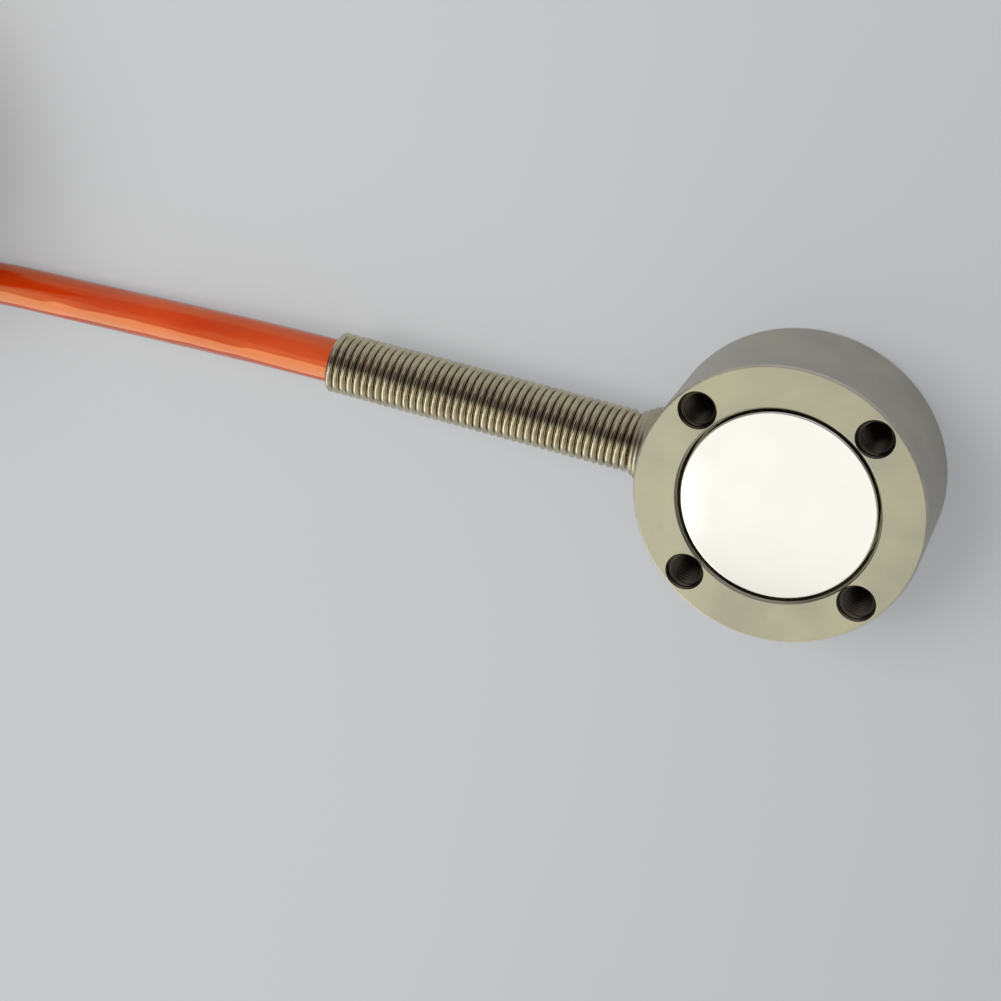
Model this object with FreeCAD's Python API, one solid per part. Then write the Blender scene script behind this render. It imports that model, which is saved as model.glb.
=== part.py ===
import FreeCAD, Part
import math
import os

# Miniature button force sensor, in millimetres.
# The origin is the centre of the base, +Z is the load axis and the cable leaves along -X.

V = FreeCAD.Vector
UP = V(0, 0, 1)
ORIGIN = V(0, 0, 0)

# Elastic element, from the load axis outwards: stem, flexing annulus, solid wall
stem_diameter = 5.0
flexure_span = 4.8
flexure_wall = 5.2
diaphragm_thickness = 0.7
hub_drop = 2.7
flexure_fillet = 0.4

# Ring face and outer edges of the housing
ring_width = 3.85
top_edge_chamfer = 0.18
base_edge_chamfer = 0.3
bore_edge_chamfer = 0.2

# Load plate, pressed on the stem
plate_gap = 0.25
plate_thickness = 1.8
plate_recess = 0.1
plate_edge_chamfer = 0.12
stem_seat_depth = 1.3
overload_gap = 0.2

# Underside, closed by a flush cover, with the terminal board over it
base_rim_width = 3.3
cover_ledge = 0.7
cover_thickness = 0.8
board_air_gap = 0.5
board_thickness = 0.8
board_clearance = 0.05
board_hole_diameter = 4.0

# Tapped holes in the ring, blind, with a countersunk mouth
hole_edge_distance = 2.0
hole_count = 4
hole_first_angle = 50.8
tap_drill_diameter = 2.5
tap_drill_depth = 5.8
drill_point_angle = 118.0
hole_mouth_diameter = 3.36

# Strain gauges under the diaphragm
gauge_count = 4
gauge_first_angle = 45.0
gauge_end_margin = 0.9
gauge_width = 2.4
gauge_thickness = 0.08
gauge_lead_diameter = 0.2
gauge_lead_inset = 0.3
gauge_lead_spacing = 1.1

# Parts on the terminal board
resistor_length = 3.2
resistor_width = 1.6
resistor_height = 0.55
resistor_radius = 5.3
resistor_angles = [-20.0, 20.0, 90.0, 270.0]
resistor_cap = 0.45
solder_height = 0.35
lead_solder_diameter = 0.7
core_solder_diameter = 1.4

# Cable and its passage through the wall
cable_diameter = 4.0
cable_clearance = 0.05
collar_insert_wall = 0.35
collar_insert_length = 3.0
collar_seat_depth = 0.9
collar_flare = 0.75
collar_reach = 1.3
collar_rib_count = 3
collar_rib_groove = 0.1
ferrule_wall = 0.5
ferrule_length = 1.2
ferrule_clearance = 0.05
jacket_stub = 0.5

# Close-wound spring round the cable
spring_clearance = 0.16
spring_wire_diameter = 0.64
spring_pitch = 0.68
spring_turns = 41.5
spring_wire_sides = 6
spring_steps_per_turn = 10

# Cores of the cable, bare of the jacket inside the housing; pads by reach and side from its end
core_diameter = 1.1
core_offset = 0.62
core_bend_radius = 0.9
core_start_inside = 0.3
upper_pad = (2.2, 2.3)
lower_pad = (1.1, 0.8)

# Free run of the cable along the surface, up to the hank
route_after_spring = [(-46.5, 0.0, 4.65), (-66.0, -1.9, 2.0), (-85.0, -2.6, 2.0)]
hank_near_x = -84.0
hank_entry_y = -7.0

# Put-away hank: laps with a narrow waist, a diameter apart, two beside each other and five high
hank_fold_radius = 13.0
hank_half_length = 28.0
hank_turn_gap = 0.1
hank_layers = 5
hank_bridge = 6.0

# End of the jacket on the hank, by shares of a lap
tail_move_shares = (0.11, 0.15, 0.19)
tail_step_share = 0.0375
tail_steps = 8
tail_end_marks = [(0.540, -1.05, 0.1), (0.565, -0.35, 0.33)]

# Sleeve and flying leads at the far end
sleeve_wall = 0.3
sleeve_length = 10.0
sleeve_overlap = 3.5
lead_diameter = 1.2
lead_offset = 0.65
lead_root_run = 2.0
lead_bare_length = 5.0
lead_bare_diameter = 0.7

# Tie round the waist of the hank
tie_width = 2.6
tie_thickness = 0.9
tie_clearance = 0.1
tie_head = (4.4, 3.6, 3.4)
tie_tail_length = 7.0
tie_tail_thickness = 0.8

# Radii that follow, from the load axis outwards
stem_radius = stem_diameter / 2
flexure_bore_radius = stem_radius + flexure_span
body_radius = flexure_bore_radius + flexure_wall
plate_bore_radius = body_radius - ring_width
plate_radius = plate_bore_radius - plate_gap
cover_radius = body_radius - base_rim_width
board_bay_radius = cover_radius - cover_ledge
hole_circle_radius = body_radius - hole_edge_distance
gauge_length = flexure_span - 2 * gauge_end_margin
gauge_radius = stem_radius + flexure_span / 2
gauge_lead_radius = gauge_radius + gauge_length / 2 - gauge_lead_inset

# Levels that follow, from the base upwards
cable_radius = cable_diameter / 2
ferrule_radius = cable_radius + ferrule_wall
board_base = cover_thickness + board_air_gap
board_top = board_base + board_thickness
exit_height = board_top + ferrule_clearance + ferrule_radius
diaphragm_base = exit_height + ferrule_radius + ferrule_clearance
diaphragm_top = diaphragm_base + diaphragm_thickness
hub_base = diaphragm_base - hub_drop
plate_base = diaphragm_top + overload_gap
stem_top = plate_base + stem_seat_depth
plate_top = plate_base + plate_thickness
body_height = plate_top + plate_recess

# Places that follow, along the cable
cable_bore_radius = cable_radius + cable_clearance
insert_radius = cable_bore_radius + collar_insert_wall
spring_outer_radius = cable_radius + spring_clearance + spring_wire_diameter
collar_base_radius = spring_outer_radius + collar_flare
collar_seat_x = -(body_radius - collar_seat_depth)
collar_face_x = -(body_radius + collar_reach)
insert_end_x = collar_seat_x + collar_insert_length
ferrule_front_x = -math.sqrt(flexure_bore_radius ** 2 - ferrule_radius ** 2)
ferrule_back_x = ferrule_front_x + ferrule_length
jacket_end_x = ferrule_back_x + jacket_stub
sleeve_radius = cable_radius + sleeve_wall

# Tracks and levels of the hank
hank_spacing = cable_diameter + hank_turn_gap
hank_waist = hank_spacing / 2
hank_flank_radius = (
    hank_half_length ** 2 / (hank_fold_radius - hank_waist) - hank_fold_radius - hank_waist
) / 2
hank_outer_offset = hank_spacing + cable_radius
hank_centre_x = hank_near_x - hank_half_length - hank_fold_radius - hank_outer_offset
hank_centre_y = hank_entry_y + hank_fold_radius + hank_spacing
hank_shelf_height = hank_spacing * (hank_layers - 2) + cable_diameter
hank_height = hank_shelf_height + hank_spacing
hank_top_level = hank_height - cable_radius


def revolve(points, axis_point=ORIGIN, axis=UP):
    """Solid turned from a closed outline about an axis."""
    outline = Part.makePolygon(points + [points[0]])
    return Part.Face(outline).revolve(axis_point, axis, 360)


def upright_profile(pairs):
    """Outline points (radius, height) in the XZ plane."""
    return [V(radius, 0, height) for radius, height in pairs]


def exit_profile(pairs):
    """Outline points (x, radius) about the cable's axis."""
    return [V(x, 0, exit_height + radius) for x, radius in pairs]


def turned_on_exit(pairs):
    """Solid turned about the cable's axis."""
    return revolve(exit_profile(pairs), V(0, 0, exit_height), V(1, 0, 0))


def ring_on_exit(inner_radius, outer_radius, start_x, end_x):
    """Plain ring about the cable's axis."""
    return turned_on_exit(
        [(start_x, inner_radius), (end_x, inner_radius), (end_x, outer_radius), (start_x, outer_radius)]
    )


def polar(radius, degrees, height):
    """Point on a circle about the load axis."""
    angle = math.radians(degrees)
    return V(radius * math.cos(angle), radius * math.sin(angle), height)


def cord_path(points, label=None):
    """Straight runs joined by tangent arcs, each as large as its two runs allow."""
    edges = []
    radii = []
    here = points[0]
    for before, corner, after in zip(points, points[1:], points[2:]):
        into = (corner - before).normalize()
        out_of = (after - corner).normalize()
        half_turn = into.getAngle(out_of) / 2
        tangent = 0.45 * min((corner - before).Length, (after - corner).Length)
        radius = tangent / math.tan(half_turn)
        radii.append(round(radius, 1))
        start = corner - into * tangent
        end = corner + out_of * tangent
        inward = (out_of - into).normalize()
        middle = corner + inward * (radius / math.cos(half_turn) - radius)
        edges.append(Part.LineSegment(here, start).toShape())
        edges.append(Part.Arc(start, middle, end).toShape())
        here = end
    edges.append(Part.LineSegment(here, points[-1]).toShape())
    if label:
        print(label, "bend radii", radii)
    return Part.Wire(edges)


def tube(points, diameter, label=None):
    """Round cord along a path of runs and arcs."""
    path = cord_path(points, label)
    section = Part.Wire(Part.makeCircle(diameter / 2, points[0], points[1] - points[0]))
    solid = path.makePipeShell([section], True, True)
    if label:
        expected = math.pi * diameter ** 2 / 4 * path.Length
        print(label, "length", round(path.Length, 1), "volume", round(solid.Volume / expected, 4))
    return solid


def mount_hole_tool():
    """Drilled hole with its drill point and countersunk mouth, about the load axis."""
    drill = tap_drill_diameter / 2
    mouth = hole_mouth_diameter / 2
    floor = body_height - tap_drill_depth
    point = floor - drill / math.tan(math.radians(drill_point_angle / 2))
    return revolve(
        upright_profile(
            [
                (0, point),
                (drill, floor),
                (drill, body_height - (mouth - drill)),
                (mouth, body_height),
                (0, body_height),
            ]
        )
    )


def sensor_body():
    """Ring, diaphragm, stem and hub in one piece, with the tapped holes and the cable bore."""
    outer = body_radius
    bay = board_bay_radius
    lid = cover_radius
    fillet = flexure_fillet
    body = revolve(
        upright_profile(
            [
                (lid, 0),
                (outer - base_edge_chamfer, 0),
                (outer, base_edge_chamfer),
                (outer, body_height - top_edge_chamfer),
                (outer - top_edge_chamfer, body_height),
                (plate_bore_radius + bore_edge_chamfer, body_height),
                (plate_bore_radius, body_height - bore_edge_chamfer),
                (plate_bore_radius, diaphragm_top),
                (stem_radius, diaphragm_top),
                (stem_radius, stem_top),
                (0, stem_top),
                (0, hub_base),
                (stem_radius, hub_base),
                (stem_radius, diaphragm_base - fillet),
                (stem_radius + fillet, diaphragm_base),
                (flexure_bore_radius - fillet, diaphragm_base),
                (flexure_bore_radius, diaphragm_base - fillet),
                (flexure_bore_radius, board_top),
                (bay, board_top),
                (bay, cover_thickness),
                (lid, cover_thickness),
            ]
        )
    )
    tools = [
        ring_on_exit(0, insert_radius, -outer, -flexure_bore_radius + ferrule_length),
        ring_on_exit(0, collar_base_radius, -outer - collar_reach, collar_seat_x),
    ]
    for index in range(hole_count):
        tool = mount_hole_tool()
        tool.translate(V(hole_circle_radius, 0, 0))
        tool.rotate(ORIGIN, UP, hole_first_angle + index * 360 / hole_count)
        tools.append(tool)
    return body.cut(tools)


def load_plate():
    """Polished disc with a blind seat for the stem."""
    edge = plate_radius
    chamfer = plate_edge_chamfer
    return revolve(
        upright_profile(
            [
                (stem_radius, plate_base),
                (edge - chamfer, plate_base),
                (edge, plate_base + chamfer),
                (edge, plate_top - chamfer),
                (edge - chamfer, plate_top),
                (0, plate_top),
                (0, stem_top),
                (stem_radius, stem_top),
            ]
        )
    )


def bottom_cover():
    """Flat lid, flush with the base."""
    return Part.makeCylinder(cover_radius, cover_thickness)


def strain_gauge(index):
    """Foil gauge bonded under the diaphragm, its grid along the radius."""
    gauge = Part.makeBox(
        gauge_length,
        gauge_width,
        gauge_thickness,
        V(gauge_radius - gauge_length / 2, -gauge_width / 2, diaphragm_base - gauge_thickness),
    )
    gauge.rotate(ORIGIN, UP, gauge_first_angle + index * 360 / gauge_count)
    return gauge


def gauge_lead_places():
    """Foot of each fine wire between a gauge and the board."""
    places = []
    for index in range(gauge_count):
        angle = gauge_first_angle + index * 360 / gauge_count
        for side in (-1, 1):
            place = V(gauge_lead_radius, side * gauge_lead_spacing / 2, board_top)
            places.append(FreeCAD.Rotation(UP, angle).multVec(place))
    return places


def gauge_leads():
    """Fine wires from the gauges down to the board."""
    height = diaphragm_base - gauge_thickness - board_top - solder_height
    rise = V(0, 0, solder_height)
    wires = [
        Part.makeCylinder(gauge_lead_diameter / 2, height, place + rise) for place in gauge_lead_places()
    ]
    return Part.makeCompound(wires)


def terminal_board():
    """Round circuit board pressed up against its ledge."""
    radius = board_bay_radius - board_clearance
    board = Part.makeCylinder(radius, board_thickness, V(0, 0, board_base))
    return board.cut(Part.makeCylinder(board_hole_diameter / 2, board_thickness, V(0, 0, board_base)))


def trim_resistor(degrees):
    """Chip resistor with its raised metal ends."""
    step = 0.04
    core = Part.makeBox(
        resistor_width,
        resistor_length,
        resistor_height - step,
        V(resistor_radius - resistor_width / 2, -resistor_length / 2, board_top),
    )
    for start in (-resistor_length / 2, resistor_length / 2 - resistor_cap):
        corner = V(resistor_radius - resistor_width / 2, start, board_top)
        core = core.fuse(Part.makeBox(resistor_width, resistor_cap, resistor_height, corner))
    core = core.removeSplitter()
    core.rotate(ORIGIN, UP, degrees)
    return core


def core_places():
    """Name, place in the jacket's end and pad on the board of each core."""
    end = jacket_end_x
    lift = core_offset
    return [
        ("red", V(end, core_offset, exit_height + lift), end + upper_pad[0], upper_pad[1]),
        ("black", V(end, -core_offset, exit_height + lift), end + upper_pad[0], -upper_pad[1]),
        ("green", V(end, core_offset, exit_height - lift), end + lower_pad[0], lower_pad[1]),
        ("white", V(end, -core_offset, exit_height - lift), end + lower_pad[0], -lower_pad[1]),
    ]


def conductor(jacket, face, pad_x, pad_y):
    """Core from the jacket's end, bent down to its pad."""
    corner = V(pad_x, pad_y, face.z)
    foot = V(pad_x, pad_y, board_top)
    into = (corner - face).normalize()
    start = face - into * core_start_inside
    down = V(0, 0, -1)
    reach = core_bend_radius
    arc_start = corner - into * reach
    arc_end = corner + down * reach
    centre = corner - into * reach + down * reach
    middle = centre + (into - down).normalize() * reach
    path = Part.Wire(
        [
            Part.LineSegment(start, arc_start).toShape(),
            Part.Arc(arc_start, middle, arc_end).toShape(),
            Part.LineSegment(arc_end, foot).toShape(),
        ]
    )
    section = Part.Wire(Part.makeCircle(core_diameter / 2, start, into))
    return path.makePipeShell([section], True, True).cut(jacket)


def solder_joints():
    """Solder cones under the fine wires and round the feet of the cores."""
    joints = []
    for place in gauge_lead_places():
        top = gauge_lead_diameter / 2
        joints.append(Part.makeCone(lead_solder_diameter / 2, top, solder_height, place))
    for _, _, pad_x, pad_y in core_places():
        foot = V(pad_x, pad_y, board_top)
        cone = Part.makeCone(core_solder_diameter / 2, core_diameter / 2 + 0.03, solder_height, foot)
        joints.append(cone.cut(Part.makeCylinder(core_diameter / 2, solder_height, foot)))
    return Part.makeCompound(joints)


def gland_collar():
    """Turned collar let into the wall, with a ribbed taper up to the spring."""
    insert = insert_radius
    base = collar_base_radius
    tip = spring_outer_radius
    pitch = collar_reach / collar_rib_count
    outline = [
        (insert_end_x, cable_bore_radius),
        (insert_end_x, insert),
        (collar_seat_x, insert),
        (collar_seat_x, base),
        (-body_radius, base),
    ]
    for rib in range(collar_rib_count):
        crest = base + (tip - base) * (rib + 0.5) / collar_rib_count
        start = -body_radius - rib * pitch
        outline += [
            (start - 0.25 * pitch, crest),
            (start - 0.75 * pitch, crest),
            (start - pitch, crest - collar_rib_groove),
        ]
    outline.append((collar_face_x, cable_bore_radius))
    return turned_on_exit(outline)


def cable_seal():
    """Rubber ring that fills the bore behind the collar."""
    return ring_on_exit(cable_radius, insert_radius, insert_end_x, -flexure_bore_radius)


def cable_ferrule():
    """Ring crimped on the jacket, which stops the cable from being pulled out."""
    return ring_on_exit(cable_radius, ferrule_radius, ferrule_front_x, ferrule_back_x)


def strain_relief_spring():
    """Close-wound helix, its wire drawn with flat sides between stations along the turns."""
    sides = spring_wire_sides
    wire_radius = spring_wire_diameter / 2 * math.sqrt(
        math.pi / (sides / 2 * math.sin(2 * math.pi / sides))
    )
    helix_radius = spring_outer_radius - spring_wire_diameter / 2
    first_x = collar_face_x - wire_radius * math.cos(math.pi / sides)
    sections = []
    for station in range(round(spring_turns * spring_steps_per_turn) + 1):
        turn = station / spring_steps_per_turn
        around = 2 * math.pi * turn
        corners = []
        for side in range(sides + 1):
            angle = 2 * math.pi * side / sides
            radius = helix_radius + wire_radius * math.cos(angle)
            x = first_x - spring_pitch * turn + wire_radius * math.sin(angle)
            corners.append(
                V(x, radius * math.cos(around), exit_height + radius * math.sin(around))
            )
        sections.append(Part.makePolygon(corners))
    return Part.makeLoft(sections, True, True)


def cable():
    """Jacketed cable from inside the housing, through the spring and along the surface to the hank."""
    points = [V(jacket_end_x, 0, exit_height)]
    points += [V(*point) for point in route_after_spring]
    points.append(V(hank_centre_x + hank_half_length, hank_entry_y, cable_radius))
    return tube(points, cable_diameter, "cable")


def hank_arcs(offset):
    """Arcs of one track of the hank, clockwise from below its near fold: centre, radius, angles."""
    half = hank_half_length
    rise = hank_waist + hank_flank_radius
    lean = math.degrees(math.atan2(half, rise))
    fold = hank_fold_radius + offset
    flank = hank_flank_radius - offset
    return [
        (V(half, 0, 0), fold, -90, -90 - lean),
        (V(0, -rise, 0), flank, 90 - lean, 90 + lean),
        (V(-half, 0, 0), fold, -90 + lean, -270 - lean),
        (V(0, rise, 0), flank, -90 - lean, -90 + lean),
        (V(half, 0, 0), fold, 90 + lean, -90),
    ]


def hank_point(share, offset, height):
    """Point on a track of the hank, by its share of the inner track's lap."""
    lengths = [radius * math.radians(abs(last - first)) for _, radius, first, last in hank_arcs(0)]
    travelled = share * sum(lengths)
    for length, (centre, radius, first, last) in zip(lengths, hank_arcs(offset)):
        if travelled <= length:
            break
        travelled -= length
    degrees = first + (last - first) * travelled / length
    return V(hank_centre_x, hank_centre_y, 0) + centre + polar(radius, degrees, height)


def hank_face(offset):
    """Flat area inside one track of the hank, at the level of the surface."""
    edges = []
    for centre, radius, first, last in hank_arcs(offset):
        points = [centre + polar(radius, degrees, 0) for degrees in (first, (first + last) / 2, last)]
        edges.append(Part.Arc(*points).toShape())
    return Part.Face(Part.Wire(edges))


def cable_hank(run_in, tail, tie):
    """Outer shape of the wound laps, with a shelf where the inner track lacks its last layer."""
    outer = hank_face(hank_outer_offset)
    laps = outer.extrude(V(0, 0, hank_height))
    shelf = hank_face(hank_spacing - cable_radius).extrude(V(0, 0, hank_spacing))
    shelf.translate(V(0, 0, hank_shelf_height))
    eyes = hank_face(-cable_radius).extrude(V(0, 0, hank_shelf_height))
    bridge = Part.makeBox(
        2 * hank_bridge,
        2 * hank_spacing,
        hank_shelf_height,
        V(-hank_bridge, -hank_spacing, 0),
    )
    laps = laps.cut([shelf, eyes.cut(bridge)])
    laps.translate(V(hank_centre_x, hank_centre_y, 0))
    return laps.cut([run_in, tail, tie])


def hank_tie():
    """Moulded tie strap round the waist of the hank, with its head and the end of its strap."""
    side = hank_waist + hank_outer_offset + tie_clearance
    top = hank_height + tie_thickness + tie_clearance
    inner = upright_profile([(-side, tie_thickness), (side, tie_thickness), (side, top), (-side, top)])
    inner_wire = Part.makePolygon(inner + [inner[0]])
    outer_wire = inner_wire.makeOffset2D(tie_thickness)
    strap = Part.Face(outer_wire).cut(Part.Face(inner_wire)).extrude(V(0, tie_width, 0))
    strap.translate(V(0, -tie_width / 2, 0))
    depth, width, height = tie_head
    outer = side + tie_thickness
    middle = hank_height / 2
    head = Part.makeBox(depth, width, height, V(outer, -width / 2, middle - height / 2))
    end = Part.makeBox(
        tie_tail_thickness,
        tie_width,
        tie_tail_length,
        V(outer + (depth - tie_tail_thickness) / 2, -tie_width / 2, middle + height / 2),
    )
    tie = strap.fuse([head, end]).removeSplitter()
    tie.rotate(ORIGIN, UP, 90)
    tie.translate(V(hank_centre_x, hank_centre_y, 0))
    return tie


def tail_points():
    """Points of the jacket's end, which moves over to the shelf of the hank and follows its far fold."""
    level = hank_top_level
    start = tail_move_shares[-1]
    points = []
    for index, share in enumerate(tail_move_shares):
        offset = hank_spacing * (1 - index / (len(tail_move_shares) - 1))
        points.append(hank_point(share, offset, level))
    points += [hank_point(start + step * tail_step_share, 0, level) for step in range(1, tail_steps + 1)]
    return points + [hank_point(share, offset, level + lift) for share, offset, lift in tail_end_marks]


def cable_tail():
    """End of the jacket, on the hank."""
    return tube(tail_points(), cable_diameter, "cable_tail")


def tail_end():
    """Last point of the jacket and the way it points."""
    before, last = tail_points()[-2:]
    return last, V(last.x - before.x, last.y - before.y, 0).normalize()


def cable_end_sleeve(tail):
    """Shrunk sleeve over the end of the jacket and the roots of the leads."""
    last, along = tail_end()
    start = last - along * sleeve_overlap
    return Part.makeCylinder(sleeve_radius, sleeve_length, start, along).cut(tail)


def marks_at(shares, places):
    """Marks (share, offset, height over its rest) of a lead."""
    return [(share, offset, over) for share, (offset, over) in zip(shares, places)]


def lead_routes():
    """Name, side, lift and marks (share, offset, height over its rest) of each flying lead."""
    shares = (0.623, 0.643, 0.665, 0.695, 0.725)
    red = [(-0.25, 1.85), (-0.3, 0.8), (-0.3, 0.0), (-0.3, 0.0), (-0.3, 0.0)]
    black = [(-1.5, 2.0), (-1.1, 1.5), (-0.9, 1.15), (-0.9, 1.15), (-0.9, 1.15)]
    green = [(0.4, 0.45), (1.0, 0.0), (1.05, 0.0), (1.05, 0.0), (1.05, 0.0)]
    white = [(-1.75, 0.5), (-1.6, 0.1), (-1.55, 0.0), (-1.55, 0.0), (-1.55, 0.0)]
    return [
        ("red", -1, 1, marks_at(shares, red) + [(0.744, -0.4, 0.0)]),
        ("black", 1, 1, marks_at(shares, black)),
        ("green", -1, -1, marks_at(shares, green) + [(0.750, 0.9, 0.0)]),
        ("white", 1, -1, marks_at(shares, white) + [(0.737, -1.7, 0.0)]),
    ]


def lead_points(side, lift, marks):
    """Points that a flying lead passes, from the sleeve along the shelf of the hank."""
    last, along = tail_end()
    across = along.cross(UP).normalize()
    face = last + along * (sleeve_length - sleeve_overlap)
    root = face + (across * side + UP * lift) * lead_offset
    rest = hank_shelf_height + lead_diameter / 2
    points = [root, root + along * lead_root_run]
    return points + [hank_point(share, offset, rest + over) for share, offset, over in marks]


def flying_lead(side, lift, marks):
    """Insulated core from the sleeve, lying on the hank."""
    return tube(lead_points(side, lift, marks), lead_diameter)


def lead_tips():
    """Stripped and tinned ends of the flying leads."""
    tips = []
    for _, side, lift, marks in lead_routes():
        points = lead_points(side, lift, marks)
        along = points[-1] - points[-2]
        tips.append(Part.makeCylinder(lead_bare_diameter / 2, lead_bare_length, points[-1], along))
    return Part.makeCompound(tips)


def write(name, shape):
    """Keep one sub-part as parts/NAME.step."""
    shape.exportStep(os.path.join("parts", name + ".step"))
    print(name, shape.isValid(), len(shape.Solids), round(shape.Volume, 3))


def main():
    """Make and write every sub-part."""
    os.makedirs("parts", exist_ok=True)
    run_in = cable()
    tail = cable_tail()
    tie = hank_tie()
    write("sensor_body", sensor_body())
    write("load_plate", load_plate())
    write("bottom_cover", bottom_cover())
    for index in range(gauge_count):
        write(f"strain_gauge_{index + 1}", strain_gauge(index))
    write("gauge_leads", gauge_leads())
    write("terminal_board", terminal_board())
    for index, degrees in enumerate(resistor_angles):
        write(f"trim_resistor_{index + 1}", trim_resistor(degrees))
    for colour, start, pad_x, pad_y in core_places():
        write(f"core_{colour}", conductor(run_in, start, pad_x, pad_y))
    write("solder_joints", solder_joints())
    write("gland_collar", gland_collar())
    write("cable_seal", cable_seal())
    write("cable_ferrule", cable_ferrule())
    write("strain_relief_spring", strain_relief_spring())
    write("cable", run_in)
    write("cable_hank", cable_hank(run_in, tail, tie))
    write("cable_tail", tail)
    write("hank_tie", tie)
    write("cable_end_sleeve", cable_end_sleeve(tail))
    for colour, side, lift, marks in lead_routes():
        write(f"lead_{colour}", flying_lead(side, lift, marks))
    write("lead_tips", lead_tips())


main()
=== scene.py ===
import math

import bmesh
import bpy
from mathutils import Matrix, Vector


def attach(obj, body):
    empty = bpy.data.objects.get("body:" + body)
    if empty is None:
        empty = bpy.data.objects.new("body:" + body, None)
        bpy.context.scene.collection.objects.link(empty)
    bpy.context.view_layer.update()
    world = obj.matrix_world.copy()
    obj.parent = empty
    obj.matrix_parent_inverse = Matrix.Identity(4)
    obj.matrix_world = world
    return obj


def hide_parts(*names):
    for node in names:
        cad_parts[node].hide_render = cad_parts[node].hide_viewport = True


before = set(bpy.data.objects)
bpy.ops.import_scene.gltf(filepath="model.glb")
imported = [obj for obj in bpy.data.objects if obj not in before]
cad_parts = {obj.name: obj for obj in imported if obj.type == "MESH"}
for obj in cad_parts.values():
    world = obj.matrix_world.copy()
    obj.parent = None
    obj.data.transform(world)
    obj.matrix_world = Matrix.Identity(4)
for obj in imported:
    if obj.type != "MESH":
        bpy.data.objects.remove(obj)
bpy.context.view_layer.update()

# Lengths below are in millimetres and are turned into metres by MM.
MM = 0.001

# Camera, as the photograph was taken
camera_place = (23.40, 75.15, 169.67)
camera_right = (0.93096, 0.12978, -0.34128)
camera_down = (0.26183, -0.88875, 0.37626)
camera_focal_px = 2126.0
picture_px = 1001.0
sensor_width = 36.0

# Housing
stem_radius = 2.5
flexure_bore_radius = 7.3
body_radius = 12.5
body_height = 10.0
plate_bore_radius = 8.65
plate_radius = 8.40
plate_top = 9.9
plate_base = 8.1
stem_top = 9.4
diaphragm_top = 7.9
diaphragm_base = 7.2
hub_base = 4.5
board_top = 2.1
board_bay_radius = 8.5
cover_radius = 9.2
cover_thickness = 0.8
top_edge_chamfer = 0.18
base_edge_chamfer = 0.3
bore_edge_chamfer = 0.2
plate_edge_chamfer = 0.12
edge_round = 0.04
wall_tolerance = 0.02

# Threaded holes in the ring
hole_circle_radius = 10.5
hole_count = 4
hole_first_angle = 50.8
hole_mouth_radius = 1.68
hole_depth = 5.8
drill_point_angle = 118.0
thread_major_radius = 1.5
thread_minor_radius = 1.25
thread_pitch = 0.5
thread_depth = 5.3
thread_steps = 40
thread_start = 0.42
thread_fade_turns = 0.4
thread_root_share = 0.86
thread_crest_share = 0.2

# Collar and spring
exit_height = 4.65
cable_bore_radius = 2.05
insert_radius = 2.4
insert_end_x = -8.6
collar_seat_x = -11.6
collar_base_radius = 3.55
collar_reach = 1.3
collar_rib_count = 3
collar_rib_groove = 0.1
collar_lip_radius = 2.13
collar_lip_length = 0.7
spring_outer_radius = 2.8
spring_wire_radius = 0.325
spring_pitch = 0.68
spring_turns = 41.5
spring_steps = 24
spring_sides = 12

# Cable up to the hank: the points of its solid, and one more inside the spring
cable_diameter = 4.0
jacket_end_x = -5.16
spring_support_x = -26.7
route_after_spring = [(-46.5, 0.0, 4.65), (-66.0, -1.9, 2.0), (-85.0, -2.6, 2.0)]

# Hank: laps in two tracks beside each other, five high
hank_fold_radius = 13.0
hank_half_length = 28.0
hank_spacing = 4.1
hank_waist = 2.05
hank_centre = (-131.1, 10.1)
lap_points = 56
first_move = 0.87
move_period = 0.905
move_width = 0.08
move_count = 9
tail_end_marks = [(8.540, -1.05, 0.1), (8.565, -0.35, 0.33)]

# Tie, sleeve and flying leads
tie_thickness = 0.9
tie_shares = (0.150, 0.650)
tie_full_share = 0.018
tie_fade_share = 0.05
sleeve_length = 10.0
sleeve_overlap = 3.5
shelf_height = 16.3
lead_diameter = 1.2
lead_offset = 0.65
lead_root_run = 2.0
lead_shares = (0.623, 0.643, 0.665, 0.695, 0.725)

# Jacket: waves of its surface per metre along and across, their depth, and its gloss
jacket_waves = (90.0, 420.0, 420.0)
jacket_wave_depth = 0.25
jacket_index = 1.75
jacket_gloss = 0.8
jacket_tint = (1.0, 0.80, 0.33, 1)

# Room as metal mirrors it: colours behind and in front, the window's edge in degrees towards -Y,
# its sides, how it fades further down, the bright pane in it, and the person before it
room_colours = ((0.52, 0.49, 0.53), (1.03, 1.01, 0.96))
window_edge = (-14.0, 0.0)
window_sides = (0.85, 0.40)
side_level = 0.12
window_fall = (27.0, 40.0, 0.66)
pane_edge = (23.0, 27.0)
pane_middle = -0.45
pane_sides = (0.22, 0.12)
pane_level = 1.6
person_direction = (0.11, 0.34, 0.93)
person_angles = (30.0, 19.0)
person_level = 0.06

# Room as it lights plain surfaces, the lamp and the floor, in metres apart from the span of the floor's
# painted shade, given in millimetres; the floor's colour darkens towards +X as painted shade
dome_towards = (-0.60, -0.20, 0.75)
dome_span = (-0.8, 1.0)
dome_levels = (0.20, 0.66)
dome_colour = (1.0, 0.99, 0.975, 1)
key_place = (-0.52, 0.18, 0.84)
key_size = 0.6
key_watts = 8.5
key_colour = (1.0, 0.98, 0.95)
backdrop_colour = (0.53, 0.54, 0.55, 1)
floor_half = 1.5
floor_glow = 0.55
# Floor colour at -X and at +X, lighter to darker: painted shade away from the light
floor_lit_to_shaded_colours = ((0.530, 0.543, 0.555), (0.455, 0.472, 0.490))
floor_shade_span = (-55.0, 40.0)


def metres(points):
    """Points given in millimetres, as vectors in metres."""
    return [Vector(p) * MM for p in points]


def polar(radius, degrees, height):
    """Point on a circle about the load axis."""
    angle = math.radians(degrees)
    return Vector((radius * math.cos(angle), radius * math.sin(angle), height))


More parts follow.
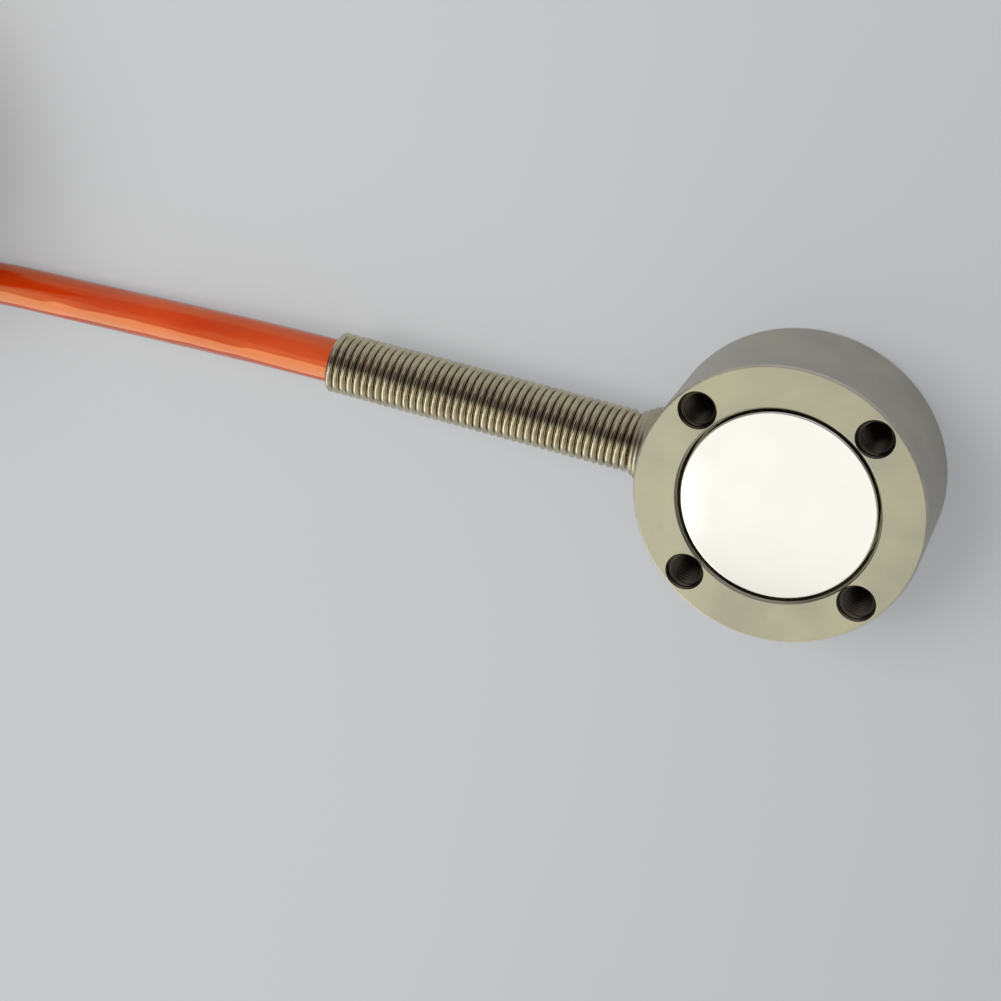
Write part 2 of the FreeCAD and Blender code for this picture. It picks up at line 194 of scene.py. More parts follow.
def smooth_step(x):
    """Ease from 0 to 1."""
    x = min(max(x, 0), 1)
    return x * x * (3 - 2 * x)


def make_camera():
    """Camera at the photograph's place and angle."""
    data = bpy.data.cameras.new("camera")
    data.sensor_width = sensor_width
    data.lens = camera_focal_px * sensor_width / picture_px
    data.clip_start = 0.005
    data.clip_end = 20
    camera = bpy.data.objects.new("camera", data)
    right = Vector(camera_right)
    up = -Vector(camera_down)
    back = right.cross(up)
    turn = Matrix((right, up, back)).transposed().to_4x4()
    camera.matrix_world = Matrix.Translation(Vector(camera_place) * MM) @ turn
    bpy.context.scene.collection.objects.link(camera)
    bpy.context.scene.camera = camera


def nurbs(name, points, diameter, resolution=8, rim=6):
    """Round cord along a smooth open spline; its points carry its radius, so its box stays tight."""
    curve = bpy.data.curves.new(name, "CURVE")
    curve.dimensions = "3D"
    curve.twist_mode = "Z_UP"
    curve.resolution_u = resolution
    curve.bevel_depth = 1
    curve.bevel_resolution = rim
    curve.use_fill_caps = True
    spline = curve.splines.new("NURBS")
    spline.points.add(len(points) - 1)
    for slot, place in zip(spline.points, metres(points)):
        slot.co = (*place, 1)
        slot.radius = diameter / 2 * MM
    spline.order_u = 3
    spline.use_endpoint_u = True
    piece = bpy.data.objects.new(name, curve)
    bpy.context.scene.collection.objects.link(piece)
    return piece


def hank_arcs(offset):
    """Arcs of one track of the hank, clockwise from below its near fold: centre, radius, angles."""
    half = hank_half_length
    flank = (half ** 2 / (hank_fold_radius - hank_waist) - hank_fold_radius - hank_waist) / 2
    rise = hank_waist + flank
    lean = math.degrees(math.atan2(half, rise))
    fold = hank_fold_radius + offset
    return [
        ((half, 0, 0), fold, -90, -90 - lean),
        ((0, -rise, 0), flank - offset, 90 - lean, 90 + lean),
        ((-half, 0, 0), fold, -90 + lean, -270 - lean),
        ((0, rise, 0), flank - offset, -90 - lean, -90 + lean),
        ((half, 0, 0), fold, 90 + lean, -90),
    ]


def hank_point(share, offset, height):
    """Point on a track of the hank, by its share of the inner track's lap."""
    lengths = [radius * math.radians(abs(last - first)) for _, radius, first, last in hank_arcs(0)]
    travelled = (share % 1) * sum(lengths)
    for length, (centre, radius, first, last) in zip(lengths, hank_arcs(offset)):
        if travelled <= length:
            break
        travelled -= length
    degrees = first + (last - first) * travelled / length
    return Vector((*hank_centre, 0)) + Vector(centre) + polar(radius, degrees, height)


def tie_lift(laps):
    """Rise of what lies on the hank where the tie passes below it."""
    share = laps % 1
    away = min(abs(share - place) for place in tie_shares)
    return tie_thickness * smooth_step((tie_fade_share - away) / (tie_fade_share - tie_full_share))


def track(position):
    """Offset and height of one place in the stack, in the order in which the laps are wound."""
    offset = hank_spacing if position % 4 in (0, 3) else 0
    return offset, cable_diameter / 2 + hank_spacing * (position // 2)


def winding_point(laps):
    """Point of the cable after so many laps."""
    position = 0
    share = 0
    for move in range(1, move_count + 1):
        start = first_move + move_period * (move - 1)
        if laps > start:
            position = move
            share = smooth_step((laps - start) / move_width)
    offset, height = track(position)
    if position:
        old_offset, old_height = track(position - 1)
        offset = old_offset + (offset - old_offset) * share
        height = old_height + (height - old_height) * share
    return hank_point(laps, offset, height + tie_lift(laps))


def tail_end():
    """Last points of the jacket, straight under the sleeve."""
    level = track(move_count)[1]
    return [hank_point(laps, offset, level + lift) for laps, offset, lift in tail_end_marks]


def make_cable():
    """The whole cable as one spline, from inside the housing to its bare end."""
    points = [(jacket_end_x, 0, exit_height), (spring_support_x, 0, exit_height)]
    points += route_after_spring
    last_lap = tail_end_marks[0][0] - 1 / lap_points
    steps = int(last_lap * lap_points)
    points += [winding_point(step / lap_points) for step in range(steps + 1)]
    points += tail_end()
    return nurbs("cable_jacket", points, cable_diameter)


def marks_at(places):
    """Marks (share, offset, height over its rest) of a lead."""
    return [(share, offset, over) for share, (offset, over) in zip(lead_shares, places)]


def lead_routes():
    """Name, side, lift and marks of each flying lead."""
    red = [(-0.25, 1.85), (-0.3, 0.8), (-0.3, 0.0), (-0.3, 0.0), (-0.3, 0.0)]
    black = [(-1.5, 2.0), (-1.1, 1.5), (-0.9, 1.15), (-0.9, 1.15), (-0.9, 1.15)]
    green = [(0.4, 0.45), (1.0, 0.0), (1.05, 0.0), (1.05, 0.0), (1.05, 0.0)]
    white = [(-1.75, 0.5), (-1.6, 0.1), (-1.55, 0.0), (-1.55, 0.0), (-1.55, 0.0)]
    return [
        ("red", -1, 1, marks_at(red) + [(0.744, -0.4, 0.0)]),
        ("black", 1, 1, marks_at(black)),
        ("green", -1, -1, marks_at(green) + [(0.750, 0.9, 0.0)]),
        ("white", 1, -1, marks_at(white) + [(0.737, -1.7, 0.0)]),
    ]


def lead_points(side, lift, marks):
    """Points that a flying lead passes, from the sleeve along the shelf of the hank."""
    before, last = tail_end()
    along = Vector((last.x - before.x, last.y - before.y, 0)).normalized()
    across = along.cross(Vector((0, 0, 1))).normalized()
    face = last + along * (sleeve_length - sleeve_overlap)
    root = face + (across * side + Vector((0, 0, lift))) * lead_offset
    rest = shelf_height + lead_diameter / 2
    points = [root, root + along * lead_root_run]
    for share, offset, over in marks:
        points.append(hank_point(share, offset, rest + over + tie_lift(share)))
    return points


def make_leads():
    """Flying leads out of the sleeve, each a cord of its own."""
    leads = []
    for colour, side, lift, marks in lead_routes():
        points = lead_points(side, lift, marks)
        lead = nurbs(f"flying_lead_{colour}", points, lead_diameter, 10, 4)
        leads.append((lead, colour, points[0]))
    return leads


make_camera()
cable = make_cable()
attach(cable, "root")
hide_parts("cable", "cable_hank", "cable_tail")
leads = make_leads()
for lead, colour, _ in leads:
    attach(lead, "root")
    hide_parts(f"lead_{colour}")


def rounded(points):
    """Outline (radius, height, rounding) with its corners turned into short arcs."""
    outline = []
    count = len(points)
    for index, (x, y, rounding) in enumerate(points):
        here = Vector((x, y))
        if rounding <= 0:
            outline.append(here)
            continue
        back = Vector(points[index - 1][:2]) - here
        ahead = Vector(points[(index + 1) % count][:2]) - here
        reach = min(rounding, 0.45 * back.length, 0.45 * ahead.length)
        start = here + back.normalized() * reach
        end = here + ahead.normalized() * reach
        for step in range(5):
            t = step / 4
            outline.append(start * (1 - t) ** 2 + here * 2 * t * (1 - t) + end * t ** 2)
    return outline


def finished(name, mesh_builder, slot=None, sharp=32):
    """Object made of a built mesh, shaded smooth up to an angle."""
    mesh = bpy.data.meshes.new(name)
    mesh_builder.to_mesh(mesh)
    mesh_builder.free()
    mesh.shade_smooth()
    mesh.set_sharp_from_angle(angle=math.radians(sharp))
    piece = bpy.data.objects.new(name, mesh)
    bpy.context.scene.collection.objects.link(piece)
    if slot:
        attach(piece, "root")
    return piece


def lathe(name, outline, slot=None, segments=256, on_exit=False, place=None, sharp=32):
    """Solid turned from an outline (radius, height) about the load axis or the cable's axis."""
    builder = bmesh.new()
    rings = []
    for radius, height in outline:
        ring = []
        for step in range(segments if radius > 1e-6 else 1):
            angle = 2 * math.pi * step / segments
            if on_exit:
                point = Vector((height, radius * math.cos(angle), exit_height + radius * math.sin(angle)))
            else:
                point = Vector((radius * math.cos(angle), radius * math.sin(angle), height))
            if place is not None:
                point += place
            ring.append(builder.verts.new(point * MM))
        rings.append(ring)
    for ring, following in zip(rings, rings[1:] + rings[:1]):
        if len(ring) == 1 and len(following) == 1:
            continue
        for step in range(segments):
            corners = [
                ring[step % len(ring)],
                ring[(step + 1) % len(ring)],
                following[(step + 1) % len(following)],
                following[step % len(following)],
            ]
            builder.faces.new(list(dict.fromkeys(corners)))
    bmesh.ops.recalc_face_normals(builder, faces=builder.faces)
    return finished(name, builder, slot, sharp)


def tube_along(name, stations, slot, sharp=60):
    """Closed solid through rings of points."""
    builder = bmesh.new()
    rings = [[builder.verts.new(point * MM) for point in station] for station in stations]
    for ring, following in zip(rings, rings[1:]):
        count = len(ring)
        for index in range(count):
            nxt = (index + 1) % count
            builder.faces.new((ring[index], ring[nxt], following[nxt], following[index]))
    builder.faces.new(rings[0])
    builder.faces.new(rings[-1])
    bmesh.ops.recalc_face_normals(builder, faces=builder.faces)
    return finished(name, builder, slot, sharp)


def hole_places():
    """Centre of each tapped hole, at the height of the ring."""
    angles = [hole_first_angle + index * 360 / hole_count for index in range(hole_count)]
    return [polar(hole_circle_radius, angle, body_height) for angle in angles]


def make_housing():
    """Housing turned in one piece, then bored and drilled."""
    soft = edge_round
    outline = rounded(
        [
            (cover_radius, 0, 0),
            (body_radius - base_edge_chamfer, 0, soft),
            (body_radius, base_edge_chamfer, soft),
            (body_radius, body_height - top_edge_chamfer, soft),
            (body_radius - top_edge_chamfer, body_height, soft),
            (plate_bore_radius + bore_edge_chamfer, body_height, soft),
            (plate_bore_radius, body_height - bore_edge_chamfer, soft),
            (plate_bore_radius, diaphragm_top, 0.2),
            (stem_radius, diaphragm_top, 0.2),
            (stem_radius, stem_top, 0),
            (0, stem_top, 0),
            (0, hub_base, 0),
            (stem_radius, hub_base, 0),
            (stem_radius, diaphragm_base, 0.7),
            (flexure_bore_radius, diaphragm_base, 0.7),
            (flexure_bore_radius, board_top, 0),
            (board_bay_radius, board_top, 0),
            (board_bay_radius, cover_thickness, 0),
            (cover_radius, cover_thickness, 0),
        ]
    )
    housing = lathe("turned_housing", outline, "ring_steel")
    drill = thread_major_radius + 0.01
    mouth = hole_mouth_radius
    floor = -hole_depth
    point = floor - drill / math.tan(math.radians(drill_point_angle / 2))
    bore = rounded(
        [
            (0, point, 0),
            (drill, floor, 0),
            (drill, drill - mouth, 0.03),
            (mouth, 0, 0.05),
            (mouth + 0.3, 0.25, 0),
            (0, 0.25, 0),
        ]
    )
    seat = [
        (0, -body_radius - 3),
        (collar_base_radius, -body_radius - 3),
        (collar_base_radius, collar_seat_x),
        (insert_radius, collar_seat_x),
        (insert_radius, -flexure_bore_radius + 0.8),
        (0, -flexure_bore_radius + 0.8),
    ]
    surfaces = ("ring_steel", "painted_shade_bore_steel", "seat_steel", "wall_steel", "painted_highlight_edge_steel")
    for name in surfaces:
        housing.data.materials.append(materials[name])
    for face in housing.data.polygons:
        reach = face.center.xy.length
        on_seat = abs(reach - plate_bore_radius * MM) < wall_tolerance * MM
        if on_seat and face.center.z > diaphragm_top * MM:
            face.material_index = surfaces.index("seat_steel")
        elif abs(reach - body_radius * MM) < wall_tolerance * MM:
            face.material_index = surfaces.index("wall_steel")
        # The outer top chamfer takes a much lighter steel, a painted highlight along the edge
        elif reach > (body_radius - top_edge_chamfer) * MM and 0.2 < face.normal.z < 0.95:
            face.material_index = surfaces.index("painted_highlight_edge_steel")
    tools = [lathe(f"hole_tool_{i}", bore, segments=64, place=p) for i, p in enumerate(hole_places())]
    # The holes' walls take the very dark bore steel, painted shade inside the holes
    for tool in tools:
        tool.data.materials.append(materials["painted_shade_bore_steel"])
    tools.append(lathe("seat_tool", seat, segments=96, on_exit=True))
    bpy.context.view_layer.objects.active = housing
    for tool in tools:
        change = housing.modifiers.new("bore", "BOOLEAN")
        change.operation = "DIFFERENCE"
        change.solver = "EXACT"
        change.material_mode = "TRANSFER"
        change.object = tool
        bpy.ops.object.modifier_apply(modifier=change.name)
    for tool in tools:
        bpy.data.objects.remove(tool)
    housing.data.shade_smooth()
    housing.data.set_sharp_from_angle(angle=math.radians(32))
    normals = housing.modifiers.new("normals", "WEIGHTED_NORMAL")
    normals.keep_sharp = True
    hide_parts("sensor_body")
    return housing


def make_thread(index, place):
    """Helical ridge of a tapped hole."""
    stations = []
    turns = thread_depth / thread_pitch
    outer = thread_major_radius + 0.03
    crest = thread_minor_radius
    half = thread_pitch / 2
    root, top = half * thread_root_share, half * thread_crest_share
    profile = [(outer, -root), (crest, -top), (crest, top), (outer, root)]
    for step in range(round(turns * thread_steps) + 1):
        turn = step / thread_steps
        angle = 360 * turn
        middle = -thread_start - thread_pitch * turn
        fade = min(1, turn / thread_fade_turns)
        ring = []
        for radius, shift in profile:
            reach = outer + (radius - outer) * fade
            ring.append(place + polar(reach, -angle, middle + shift))
        stations.append(ring)
    return tube_along(f"hole_thread_{index + 1}", stations, "ring_steel", 25)


def make_plate():
    """Polished load plate."""
    outline = rounded(
        [
            (stem_radius, plate_base, 0),
            (plate_radius - plate_edge_chamfer, plate_base, 0),
            (plate_radius, plate_base + plate_edge_chamfer, 0),
            (plate_radius, plate_top - plate_edge_chamfer, 0.04),
            (plate_radius - plate_edge_chamfer, plate_top, 0.05),
            (0, plate_top, 0),
            (0, stem_top, 0),
            (stem_radius, stem_top, 0),
        ]
    )
    plate = lathe("polished_plate", outline, "plate_steel")
    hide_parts("load_plate")
    return plate


def make_cover():
    """Lid that closes the underside."""
    outline = rounded(
        [
            (0, 0, 0),
            (cover_radius, 0, 0.06),
            (cover_radius, cover_thickness, 0),
            (0, cover_thickness, 0),
        ]
    )
    cover = lathe("underside_cover", outline, "cover_steel")
    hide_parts("bottom_cover")
    return cover


def make_collar():
    """Ribbed collar at the foot of the spring."""
    pitch = collar_reach / collar_rib_count
    outline = [
        (cable_bore_radius, insert_end_x, 0),
        (insert_radius, insert_end_x, 0),
        (insert_radius, collar_seat_x, 0),
        (collar_base_radius, collar_seat_x, 0),
        (collar_base_radius, -body_radius, 0),
    ]
    for rib in range(collar_rib_count):
        crest = collar_base_radius
        crest += (spring_outer_radius - collar_base_radius) * (rib + 0.5) / collar_rib_count
        start = -body_radius - rib * pitch
        outline += [
            (crest, start - 0.25 * pitch, 0.06),
            (crest, start - 0.75 * pitch, 0.06),
            (crest - collar_rib_groove, start - pitch, 0.02),
        ]
    face = -body_radius - collar_reach
    lip = collar_lip_radius
    outline += [(lip, face, 0), (lip, face - collar_lip_length, 0)]
    outline.append((cable_bore_radius, face - collar_lip_length, 0))
    collar = lathe("ribbed_collar", rounded(outline), "collar_steel", 96, on_exit=True)
    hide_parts("gland_collar")
    return collar


def make_spring():
    """Close-wound helix of round wire."""
    wire = spring_wire_radius
    helix = spring_outer_radius - wire
    first_x = -body_radius - collar_reach - wire
    stations = []
    for step in range(round(spring_turns * spring_steps) + 1):
        turn = step / spring_steps
        around = 2 * math.pi * turn
        ring = []
        for side in range(spring_sides):
            angle = 2 * math.pi * side / spring_sides
            radius = helix + wire * math.cos(angle)
            x = first_x - spring_pitch * turn + wire * math.sin(angle)
            ring.append(Vector((x, radius * math.cos(around), exit_height + radius * math.sin(around))))
        stations.append(ring)
    spring = tube_along("wound_spring", stations, "spring_steel")
    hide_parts("strain_relief_spring")
    return spring


def node(tree, kind, inputs=(), **settings):
    """Shader node with its settings, and its inputs as values or links."""
    made = tree.nodes.new(kind)
    for key, value in settings.items():
        setattr(made, key, value)
    for key, value in dict(inputs).items():
        if isinstance(value, bpy.types.NodeSocket):
            tree.links.new(value, made.inputs[key])
        else:
            made.inputs[key].default_value = value
    return made


def blend(tree, share, first, second):
    """Colour between two, by a share."""
    mix = node(tree, "ShaderNodeMix", {0: share, 6: first, 7: second}, data_type="RGBA")
    return mix.outputs[2]


def noise(tree, place, scale, detail=3.0, low=0.35, high=0.65):
    """Soft noise from 0 to 1 at so many spots per metre."""
    made = node(tree, "ShaderNodeTexNoise", {"Vector": place, "Scale": scale, "Detail": detail})
    ramp = node(tree, "ShaderNodeMapRange", {"Value": made.outputs["Fac"], "From Min": low, "From Max": high})
    return ramp.outputs["Result"]


def eased(tree, value, start, end, low, high):
    """Value that goes smoothly from low to high as another goes from start to end."""
    ramp = node(
        tree,
        "ShaderNodeMapRange",
        {"Value": value, "From Min": start, "From Max": end, "To Min": low, "To Max": high},
        interpolation_type="SMOOTHSTEP",
    )
    return ramp.outputs["Result"]


def product(tree, first, second):
    """Two values multiplied."""
    return node(tree, "ShaderNodeMath", {0: first, 1: second}, operation="MULTIPLY").outputs[0]


def either(tree, first, second):
    """The larger of two values."""
    return node(tree, "ShaderNodeMath", {0: first, 1: second}, operation="MAXIMUM").outputs[0]


def rgba(colour):
    """Colour with full cover."""
    return (*colour, 1.0)


def plain_material(name, dark, light, metallic=0.0, roughness=0.5, spots=400.0, relief=0.0, **more):
    """Surface whose colour and gloss vary softly between two tones."""
    made = bpy.data.materials.new(name)
    made.use_nodes = True
    tree = made.node_tree
    shader = tree.nodes["Principled BSDF"]
    place = node(tree, "ShaderNodeTexCoord").outputs["Object"]
    share = noise(tree, place, spots)
    tree.links.new(blend(tree, share, rgba(dark), rgba(light)), shader.inputs["Base Color"])
    gloss = node(
        tree,
        "ShaderNodeMapRange",
        {"Value": share, "To Min": roughness * 0.9, "To Max": roughness * 1.1},
    )
    tree.links.new(gloss.outputs["Result"], shader.inputs["Roughness"])
    shader.inputs["Metallic"].default_value = metallic
    for key, value in more.items():
        shader.inputs[key.replace("_", " ")].default_value = value
    if relief:
        fine = node(tree, "ShaderNodeTexNoise", {"Vector": place, "Scale": spots * 6, "Detail": 4.0})
        bump = node(
            tree,
            "ShaderNodeBump",
            {"Height": fine.outputs["Fac"], "Strength": 1.0, "Distance": relief * MM},
        )
        tree.links.new(bump.outputs["Normal"], shader.inputs["Normal"])
    return made


def turned_steel(name, dark, light, roughness, pitch, depth, spots=220.0):
    """Turned metal: soft blotches of tone and fine marks round the load axis."""
    made = bpy.data.materials.new(name)
    made.use_nodes = True
    tree = made.node_tree
    shader = tree.nodes["Principled BSDF"]
    place = node(tree, "ShaderNodeTexCoord").outputs["Object"]
    share = noise(tree, place, spots, 4.0)
    tree.links.new(blend(tree, share, rgba(dark), rgba(light)), shader.inputs["Base Color"])
    gloss = node(
        tree,
        "ShaderNodeMapRange",
        {"Value": share, "To Min": roughness * 0.85, "To Max": roughness * 1.15},
    )
    tree.links.new(gloss.outputs["Result"], shader.inputs["Roughness"])
    parts = node(tree, "ShaderNodeSeparateXYZ", {0: place})
    flat = node(tree, "ShaderNodeCombineXYZ", {0: parts.outputs[0], 1: parts.outputs[1]})
    reach = node(tree, "ShaderNodeVectorMath", {0: flat.outputs[0]}, operation="LENGTH")
    path = node(tree, "ShaderNodeMath", {0: reach.outputs["Value"], 1: parts.outputs[2]}, operation="ADD")
    turns = product(tree, path.outputs[0], 2 * math.pi / (pitch * MM))
    wave = node(tree, "ShaderNodeMath", {0: turns}, operation="SINE")
    bump = node(
        tree,
        "ShaderNodeBump",
        {"Height": wave.outputs[0], "Strength": 1.0, "Distance": depth * MM},
    )
    tree.links.new(bump.outputs["Normal"], shader.inputs["Normal"])
    shader.inputs["Metallic"].default_value = 1.0
    return made


def jacket_material(name):
    """Glossy orange jacket, slightly uneven."""
    made = plain_material(name, (0.44, 0.022, 0.0008), (0.52, 0.032, 0.0015), roughness=0.1, spots=120.0)
    tree = made.node_tree
    shader = tree.nodes["Principled BSDF"]
    place = node(tree, "ShaderNodeTexCoord").outputs["Object"]
    stretched = node(tree, "ShaderNodeMapping", {"Vector": place, "Scale": jacket_waves})
    waves = node(tree, "ShaderNodeTexNoise", {"Vector": stretched.outputs[0], "Scale": 1.0, "Detail": 1.5})
    bump = node(
        tree,
        "ShaderNodeBump",
        {"Height": waves.outputs["Fac"], "Strength": 1.0, "Distance": jacket_wave_depth * MM},
    )
    tree.links.new(bump.outputs["Normal"], shader.inputs["Normal"])
    shader.inputs["IOR"].default_value = jacket_index
    shader.inputs["Specular IOR Level"].default_value = jacket_gloss
    shader.inputs["Specular Tint"].default_value = jacket_tint
    return made


# Dark tone, light tone, roughness, pitch and depth of the turning marks
turned_surfaces = {
    "ring_steel": ((0.40, 0.39, 0.30), (0.50, 0.485, 0.35), 0.38, 0.09, 0.0004),
    # Tapped holes and their threads: a very dark steel, painted shade inside the holes
    "painted_shade_bore_steel": ((0.09, 0.08, 0.06), (0.17, 0.15, 0.12), 0.35, 0.2, 0.0004),
    "seat_steel": ((0.42, 0.39, 0.27), (0.52, 0.48, 0.34), 0.4, 0.2, 0.0004),
    "wall_steel": ((0.41, 0.385, 0.335), (0.51, 0.475, 0.395), 0.38, 0.09, 0.0004),
    # Outer top chamfer: a much lighter steel than the ring, a painted highlight along the edge
    "painted_highlight_edge_steel": ((0.74, 0.72, 0.62), (0.84, 0.82, 0.70), 0.6, 0.09, 0.0004),
    "plate_steel": ((0.92, 0.92, 0.88), (0.95, 0.95, 0.91), 0.12, 0.15, 0.0001),
}

# Dark tone, light tone, metal share, roughness, spots per metre
plain_surfaces = {
    "cover_steel": ((0.48, 0.48, 0.46), (0.56, 0.56, 0.53), 1.0, 0.35),
    "collar_steel": ((0.40, 0.35, 0.25), (0.50, 0.45, 0.33), 1.0, 0.28, 700.0),
    "spring_steel": ((0.46, 0.41, 0.29), (0.58, 0.53, 0.38), 1.0, 0.13, 700.0),
    "gauge_film": ((0.50, 0.16, 0.02), (0.62, 0.24, 0.04), 0.0, 0.3),
    "copper_wire": ((0.62, 0.25, 0.10), (0.75, 0.33, 0.15), 1.0, 0.3),
    "board_laminate": ((0.01, 0.09, 0.03), (0.015, 0.13, 0.05), 0.0, 0.4),
    "resistor_ceramic": ((0.012, 0.012, 0.014), (0.03, 0.03, 0.035)),
    "solder": ((0.50, 0.50, 0.50), (0.62, 0.62, 0.62), 1.0, 0.3, 900.0),
    "seal_rubber": ((0.010, 0.010, 0.010), (0.02, 0.02, 0.02), 0.0, 0.7),
    "ferrule_brass": ((0.60, 0.40, 0.12), (0.72, 0.50, 0.18), 1.0, 0.3),
    "tie_nylon": ((0.62, 0.62, 0.58), (0.72, 0.72, 0.68), 0.0, 0.4),
    "sleeve_plastic": ((0.012, 0.012, 0.013), (0.025, 0.025, 0.027)),
    "red_insulation": ((0.36, 0.008, 0.006), (0.46, 0.014, 0.010), 0.0, 0.35),
    "black_insulation": ((0.008, 0.008, 0.008), (0.02, 0.02, 0.02), 0.0, 0.35),
    "green_insulation": ((0.008, 0.10, 0.02), (0.014, 0.15, 0.03), 0.0, 0.35),
    "white_insulation": ((0.62, 0.62, 0.60), (0.72, 0.72, 0.70), 0.0, 0.35),
}

materials = {name: turned_steel(name, *values) for name, values in turned_surfaces.items()}
materials.update({name: plain_material(name, *values) for name, values in plain_surfaces.items()})
materials["cable_jacket"] = jacket_material("cable_jacket")


def dress(piece, slot):
    """Give a piece the material of its slot."""
    piece.data.materials.clear()
    piece.data.materials.append(materials[slot])


housing = make_housing()
plate = make_plate()
cover = make_cover()
collar = make_collar()
spring = make_spring()
threads = [make_thread(index, place) for index, place in enumerate(hole_places())]

dress(cable, "cable_jacket")
for lead, colour, _ in leads:
    dress(lead, f"{colour}_insulation")
dress(plate, "plate_steel")
dress(cover, "cover_steel")
dress(collar, "collar_steel")
dress(spring, "spring_steel")
# Threads in the very dark bore steel, painted shade inside the holes
for thread in threads:
    dress(thread, "painted_shade_bore_steel")
node_slots = {
    "gauge_leads": "copper_wire",
    "terminal_board": "board_laminate",
    "solder_joints": "solder",
    "cable_seal": "seal_rubber",
    "cable_ferrule": "ferrule_brass",
    "hank_tie": "tie_nylon",
    "cable_end_sleeve": "sleeve_plastic",
    "lead_tips": "solder",
}
node_slots.update({f"strain_gauge_{index}": "gauge_film" for index in range(1, 5)})
node_slots.update({f"trim_resistor_{index}": "resistor_ceramic" for index in range(1, 5)})
node_slots.update({f"core_{colour}": f"{colour}_insulation" for _, colour, _ in leads})
for name, slot in node_slots.items():
    dress(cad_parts[name], slot)


def make_floor():
    """Pale surface that the object lies on."""
    builder = bmesh.new()
    corners = ((-1, -1), (1, -1), (1, 1), (-1, 1))
    builder.faces.new([builder.verts.new((x * floor_half, y * floor_half, 0)) for x, y in corners])
    floor = finished("floor", builder)
    made = plain_material("floor", (0.97, 0.975, 0.98), (1.0, 1.0, 1.0), 0.0, 0.7, 9.0)
    tree = made.node_tree
    shader = tree.nodes["Principled BSDF"]
    spots = shader.inputs["Base Color"].links[0].from_socket
    place = node(tree, "ShaderNodeTexCoord").outputs["Object"]
    # Floor colour darkens along X towards +X: painted shade away from the light
    across = node(tree, "ShaderNodeSeparateXYZ", {0: place}).outputs[0]
    share = eased(tree, across, floor_shade_span[0] * MM, floor_shade_span[1] * MM, 0.0, 1.0)
    fade = blend(tree, share, *(rgba(colour) for colour in floor_lit_to_shaded_colours))
    colour = node(
        tree, "ShaderNodeMix", {0: 1.0, 6: spots, 7: fade}, data_type="RGBA", blend_type="MULTIPLY"
    ).outputs[2]
    tree.links.new(colour, shader.inputs["Base Color"])
    glow = node(tree, "ShaderNodeEmission", {"Color": colour, "Strength": 1.0})
    rays = node(tree, "ShaderNodeLightPath").outputs
    direct = either(tree, rays["Is Camera Ray"], rays["Is Transmission Ray"])
    seen = either(tree, direct, rays["Is Glossy Ray"])
    share = product(tree, seen, floor_glow)
    mix = node(tree, "ShaderNodeMixShader", {0: share, 1: shader.outputs[0], 2: glow.outputs[0]})
    output = tree.nodes["Material Output"]
    tree.links.new(mix.outputs[0], output.inputs["Surface"])
    floor.data.materials.append(made)


def area_light(name, place, target, size, watts, colour):
    """Square light that faces a point."""
    data = bpy.data.lights.new(name, "AREA")
    data.size = size
    data.energy = watts
    data.color = colour
    lamp = bpy.data.objects.new(name, data)
    lamp.location = place
    lamp.visible_glossy = False
    lamp.rotation_euler = (Vector(target) - Vector(place)).to_track_quat("-Z", "Y").to_euler()
    bpy.context.scene.collection.objects.link(lamp)


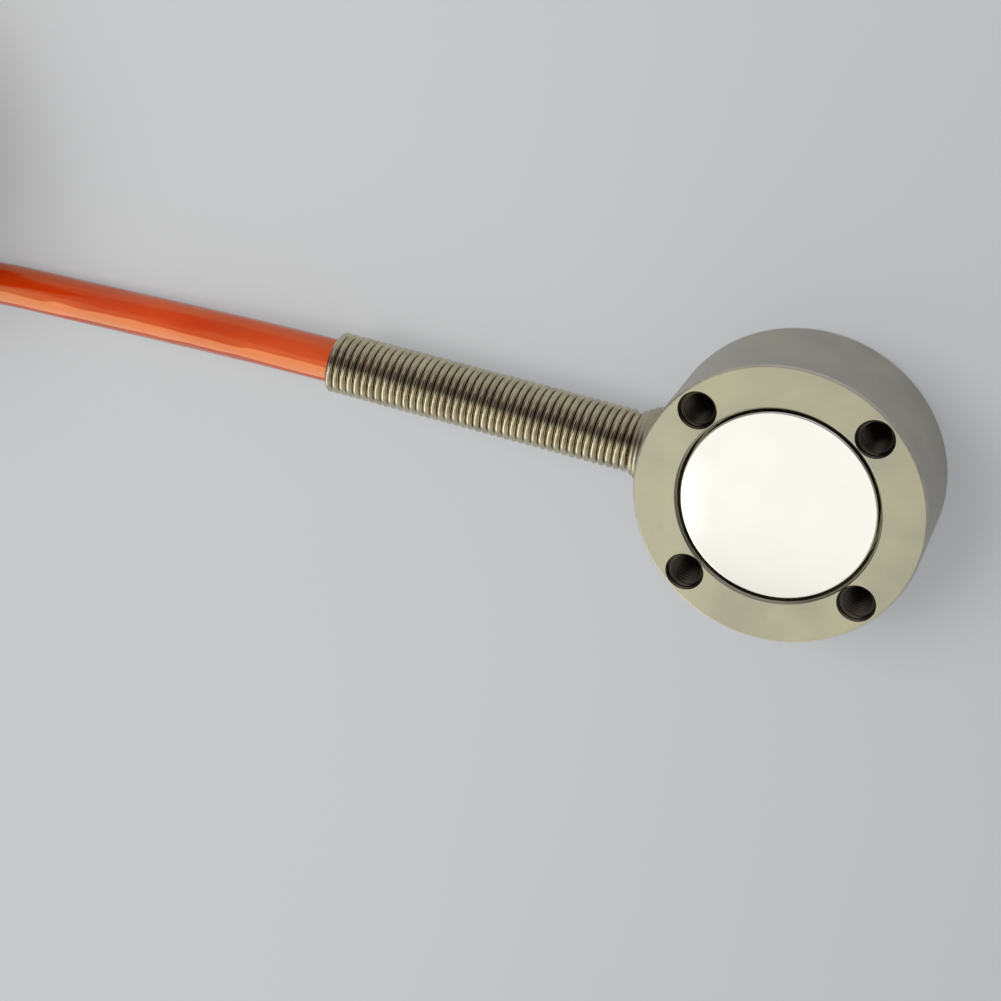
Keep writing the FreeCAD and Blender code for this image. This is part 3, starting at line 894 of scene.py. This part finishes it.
def make_world():
    """Room with a wide bright window in front of the object, dim behind it, and a person between."""
    world = bpy.data.worlds.new("room")
    bpy.context.scene.world = world
    world.use_nodes = True
    tree = world.node_tree
    tree.nodes.clear()
    direction = node(tree, "ShaderNodeTexCoord").outputs["Generated"]
    parts = node(tree, "ShaderNodeSeparateXYZ", {0: direction})
    ahead = product(tree, parts.outputs[1], -1.0)
    tilt = node(tree, "ShaderNodeMath", {0: ahead, 1: parts.outputs[2]}, operation="ARCTAN2").outputs[0]
    window = eased(tree, tilt, math.radians(window_edge[0]), math.radians(window_edge[1]), 0.0, 1.0)
    colour = blend(tree, window, *(rgba(colour) for colour in room_colours))
    towards = Vector(person_direction).normalized()
    near = node(tree, "ShaderNodeVectorMath", {0: direction, 1: towards}, operation="DOT_PRODUCT")
    outer, inner = (math.cos(math.radians(angle)) for angle in person_angles)
    person = eased(tree, near.outputs["Value"], outer, inner, 1.0, person_level)
    aside = node(tree, "ShaderNodeMath", {0: parts.outputs[0]}, operation="ABSOLUTE").outputs[0]
    sides = eased(tree, aside, window_sides[1], window_sides[0], 1.0, side_level)
    start, end, low = window_fall
    fall = eased(tree, tilt, math.radians(start), math.radians(end), 1.0, low)
    shift = node(tree, "ShaderNodeMath", {0: parts.outputs[0], 1: pane_middle}, operation="SUBTRACT")
    offset = node(tree, "ShaderNodeMath", {0: shift.outputs[0]}, operation="ABSOLUTE").outputs[0]
    pane = product(
        tree,
        eased(tree, offset, *pane_sides, 0.0, pane_level),
        eased(tree, tilt, *(math.radians(edge) for edge in pane_edge), 0.0, 1.0),
    )
    level = node(
        tree,
        "ShaderNodeMath",
        {0: product(tree, product(tree, person, sides), fall), 1: pane},
        operation="ADD",
    ).outputs[0]
    mirrored = node(tree, "ShaderNodeBackground", {"Color": colour, "Strength": level})
    above = node(
        tree,
        "ShaderNodeVectorMath",
        {0: direction, 1: Vector(dome_towards).normalized()},
        operation="DOT_PRODUCT",
    )
    dome = eased(tree, above.outputs["Value"], *dome_span, *dome_levels)
    light = node(tree, "ShaderNodeBackground", {"Color": dome_colour, "Strength": dome})
    back = node(tree, "ShaderNodeBackground", {"Color": backdrop_colour, "Strength": 1.0})
    rays = node(tree, "ShaderNodeLightPath").outputs
    room = node(
        tree,
        "ShaderNodeMixShader",
        {0: rays["Is Glossy Ray"], 1: light.outputs[0], 2: mirrored.outputs[0]},
    )
    seen = either(tree, rays["Is Camera Ray"], rays["Is Transmission Ray"])
    mix = node(tree, "ShaderNodeMixShader", {0: seen, 1: room.outputs[0], 2: back.outputs[0]})
    node(tree, "ShaderNodeOutputWorld", {"Surface": mix.outputs[0]})


make_floor()
make_world()
area_light("key", key_place, (0, 0, 0), key_size, key_watts, key_colour)

bpy.context.scene.view_settings.view_transform = "Standard"
